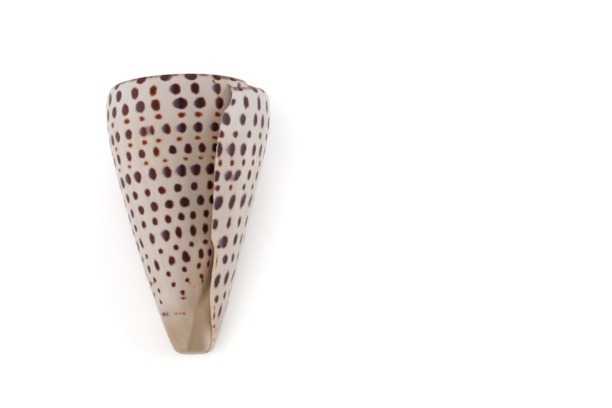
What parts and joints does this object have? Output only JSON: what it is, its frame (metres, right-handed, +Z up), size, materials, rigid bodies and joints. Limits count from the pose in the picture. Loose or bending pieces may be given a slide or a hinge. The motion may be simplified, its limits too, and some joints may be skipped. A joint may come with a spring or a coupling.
{
  "type": "cone shell",
  "caption": "Whole cone-shaped sea-snail shell with a low coiled top, rounded shoulder, long narrow mouth slot and open narrow tip, lying on its back; white with rows of dark brown spots.",
  "frame": {"origin": "centre of the shell's footprint, on the surface it lies on", "axes": "+Z up, away from the surface it lies on and out through the mouth side; +Y along the shell from the narrow tip towards the wide coiled end; +X across, towards the lip"},
  "size_m": [0.059, 0.1004, 0.0577],
  "materials": {
    "spotted_shell": "satin, off-white shell with dark brown and orange-brown spots"
  },
  "bodies": {
    "root": {"shell": "spotted_shell"}
  },
  "joints": []
}
